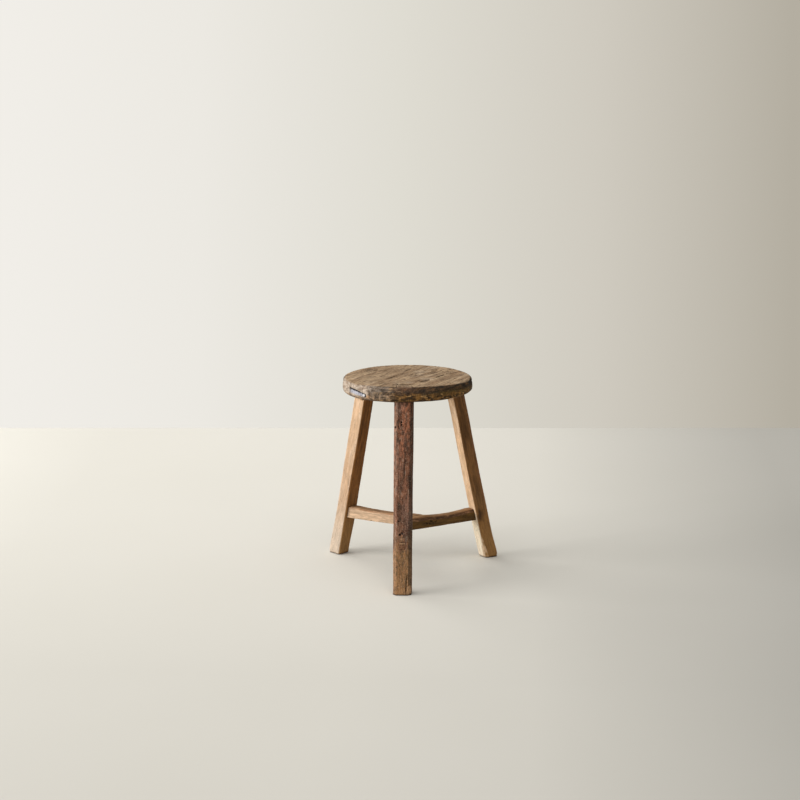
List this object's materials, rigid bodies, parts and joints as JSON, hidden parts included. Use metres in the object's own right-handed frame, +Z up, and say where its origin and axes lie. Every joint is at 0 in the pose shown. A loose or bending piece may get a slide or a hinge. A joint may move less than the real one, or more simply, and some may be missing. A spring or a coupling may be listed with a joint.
{
  "type": "milking stool",
  "caption": "Round slab seat on splayed square wooden legs, tied low down by rails that lock into each other in a pinwheel.",
  "frame": {"origin": "on the floor, in the middle of the rectangle that the stool takes up", "axes": "+Z up; the front leg points along -Y; +X to the right of a viewer who stands at the front leg"},
  "size_m": [0.4146, 0.3856, 0.475],
  "materials": {
    "seat_wood": "worn, weathered grey-brown, matt",
    "red_leg_wood": "old reddish-brown, rubbed, matt",
    "pale_leg_wood": "dry, pale brown, matt",
    "rail_wood": "rubbed brown, satin where feet have worn it",
    "wedge_wood": "dark end grain",
    "iron": "rusted nail iron"
  },
  "bodies": {
    "root": {"seat": "seat_wood", "front_leg": "red_leg_wood", "left_leg": "pale_leg_wood", "right_leg": "pale_leg_wood", "front_leg_wedge": "wedge_wood", "left_leg_wedge": "wedge_wood", "right_leg_wedge": "wedge_wood", "front_rail": "rail_wood", "left_rail": "rail_wood", "right_rail": "rail_wood", "rail_nails": "iron"}
  },
  "joints": []
}
